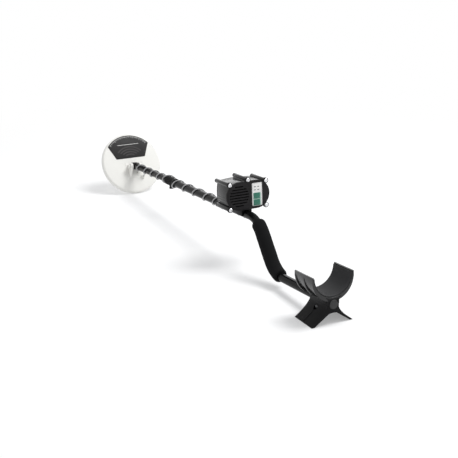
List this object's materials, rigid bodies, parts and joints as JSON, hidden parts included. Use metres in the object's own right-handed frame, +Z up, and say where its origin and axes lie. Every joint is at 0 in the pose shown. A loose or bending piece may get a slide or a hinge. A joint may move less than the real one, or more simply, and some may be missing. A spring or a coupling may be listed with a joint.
{
  "type": "metal detector",
  "caption": "Hand-held metal detector: round search coil on a tilting yoke, telescoping S-shaped stem with wound cable, control box, foam grip, arm cup and stand.",
  "frame": {"origin": "On the ground, at the middle of the bounding box's length and width, with the detector standing on its coil's heel and its arm-cup stand", "axes": "+X along the stem from the coil to the arm cup, +Y across to the user's left as seen from behind looking at the coil, +Z up"},
  "size_m": [1.258, 0.2, 0.2434],
  "materials": {
    "white_abs": "satin moulding",
    "white_nylon": "satin moulding",
    "black_gloss": "gloss",
    "black_tube": "gloss black powder coat",
    "black_plastic": "satin",
    "charcoal_plastic": "fine texture",
    "grey_plastic": "satin",
    "black_rubber": "matt",
    "black_foam": "closed-cell foam, matt",
    "label_film": "printed film",
    "panel_film": "printed film",
    "green_pad": "printed film",
    "chromed_steel": "polished",
    "zinc_steel": "plated",
    "enamelled_copper": "enamelled wire",
    "circuit_board": "solder mask",
    "speaker_cone": "paper",
    "battery_case": "printed sleeve"
  },
  "bodies": {
    "handle": {"upper_stem": "black_tube", "stem_end_plug": "grey_plastic", "grip_foam": "black_foam", "clamp_collar": "black_plastic", "coil_cable_bridge": "black_gloss", "coil_cable_upper": "black_gloss", "box_body": "black_gloss", "face_gasket": "black_rubber", "box_face": "charcoal_plastic", "box_rear_plate": "black_gloss", "face_bolt_1": "chromed_steel", "face_bolt_2": "chromed_steel", "face_bolt_3": "chromed_steel", "face_bolt_4": "chromed_steel", "face_bolt_5": "chromed_steel", "speaker_frame": "zinc_steel", "speaker_cone": "speaker_cone", "control_panel": "panel_film", "keypad_board": "circuit_board", "pad_switch_upper": "black_plastic", "pad_switch_lower": "black_plastic", "circuit_board": "circuit_board", "battery_near": "battery_case", "battery_far": "battery_case", "headphone_socket": "black_plastic", "box_cable_gland": "black_plastic", "box_saddle": "black_plastic", "saddle_screw_front": "zinc_steel", "saddle_screw_rear": "zinc_steel", "arm_cup": "black_plastic", "arm_cup_pad": "black_foam", "arm_stand": "black_plastic", "cup_bolt": "zinc_steel", "cup_nut": "zinc_steel", "stand_bolt": "zinc_steel", "stand_nut": "zinc_steel"},
    "lower": {"lower_stem": "black_tube", "stem_tongue": "black_plastic", "coil_cable_lower": "black_gloss", "coil_cable_lead": "black_gloss"},
    "coil": {"coil_top_shell": "white_abs", "coil_base_plate": "white_abs", "transmit_winding": "enamelled_copper", "receive_winding": "enamelled_copper", "coil_label": "label_film", "coil_cable_gland": "white_abs", "pivot_bolt": "white_nylon", "pivot_washer_near": "black_rubber", "pivot_washer_far": "black_rubber"},
    "pivot_nut": {"pivot_thumb_nut": "white_nylon"},
    "clamp_screw": {"clamp_screw": "black_plastic"},
    "pad_upper": {"touch_pad_upper": "green_pad"},
    "pad_lower": {"touch_pad_lower": "green_pad"}
  },
  "joints": [
    {"name": "stem_extension", "type": "slide", "parent": "handle", "child": "lower", "axis": [-0.9976, 0, -0.0698], "range_m": [0, 0.1], "deforming": ["coil_cable_bridge"]},
    {"name": "coil_tilt", "type": "hinge", "parent": "lower", "child": "coil", "pos_m": [-0.5364, 0, 0.0907], "axis": [0, 1, 0], "range_deg": [-64, 45], "deforming": ["coil_cable_lead"]},
    {"name": "pivot_nut_turn", "type": "hinge", "parent": "coil", "child": "pivot_nut", "pos_m": [-0.5364, 0, 0.0907], "axis": [0, 1, 0], "range_deg": [0, 360]},
    {"name": "clamp_screw_turn", "type": "hinge", "parent": "handle", "child": "clamp_screw", "pos_m": [-0.24995, 0, 0.09419], "axis": [-0.0698, 0, 0.9976], "range_deg": [0, 360]},
    {"name": "upper_pad_press", "type": "slide", "parent": "handle", "child": "pad_upper", "axis": [-0.9976, 0, -0.0698], "range_m": [0, 0.0004], "stiffness_N_per_m": 4000},
    {"name": "lower_pad_press", "type": "slide", "parent": "handle", "child": "pad_lower", "axis": [-0.9976, 0, -0.0698], "range_m": [0, 0.0004], "stiffness_N_per_m": 4000}
  ]
}
